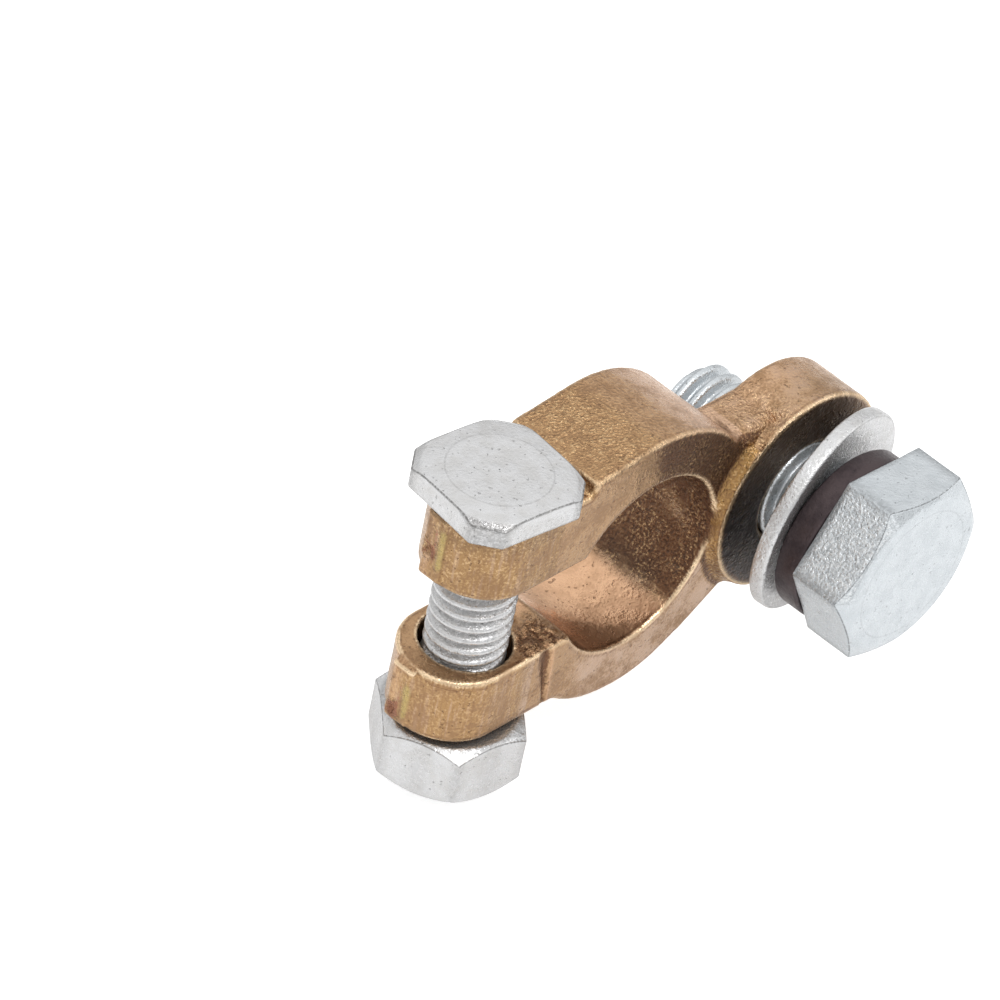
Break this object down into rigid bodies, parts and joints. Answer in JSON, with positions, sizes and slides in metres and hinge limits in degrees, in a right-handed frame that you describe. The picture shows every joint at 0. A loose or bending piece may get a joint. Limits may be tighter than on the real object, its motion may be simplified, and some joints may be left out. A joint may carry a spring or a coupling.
{
  "type": "battery terminal clamp",
  "caption": "Cast brass clamp for a car battery post: split ring closed by a square-headed bolt and nut, with a side eye whose bolt and washers hold the cable lug.",
  "frame": {"origin": "centre of the post bore, halfway through the ring", "axes": "+Y along the post bore, away from the cable bolt's head; +Z along the clamp bolt towards its square head; +X from the bore to the cable eye"},
  "size_m": [0.0413, 0.0221, 0.027],
  "materials": {
    "brass": "as cast, satin",
    "zinc_steel": "zinc plated, satin",
    "dark_steel": "dark oxide, satin"
  },
  "bodies": {
    "body": {"clamp_body": "brass"},
    "clamp_bolt": {"clamp_bolt": "zinc_steel"},
    "clamp_nut": {"clamp_nut": "zinc_steel"},
    "washers": {"flat_washer": "zinc_steel", "spring_washer": "dark_steel"},
    "cable_bolt": {"cable_bolt": "zinc_steel"}
  },
  "joints": [
    {"name": "clamp_bolt_rise", "type": "slide", "parent": "body", "child": "clamp_bolt", "axis": [0, 0, 1], "range_m": [0, 0.005]},
    {"name": "clamp_nut_turn", "type": "hinge", "parent": "body", "child": "clamp_nut", "pos_m": [-0.01228, 0, -0.0118], "axis": [0, 0, 1], "range_deg": [-1801, 0]},
    {"name": "washer_travel", "type": "slide", "parent": "body", "child": "washers", "axis": [0, 1, 0], "range_m": [-0.00813, 0.00025]},
    {"name": "cable_bolt_turn", "type": "hinge", "parent": "washers", "child": "cable_bolt", "pos_m": [0.01529, -0.0112, 0], "axis": [0, 1, 0], "range_deg": [-2341, 73]}
  ],
  "couplings": [
    {"joint": "clamp_nut_turn", "follows": "clamp_bolt_rise", "rad_per_m": -6283.2},
    {"joint": "cable_bolt_turn", "follows": "washer_travel", "rad_per_m": 5026.5}
  ]
}
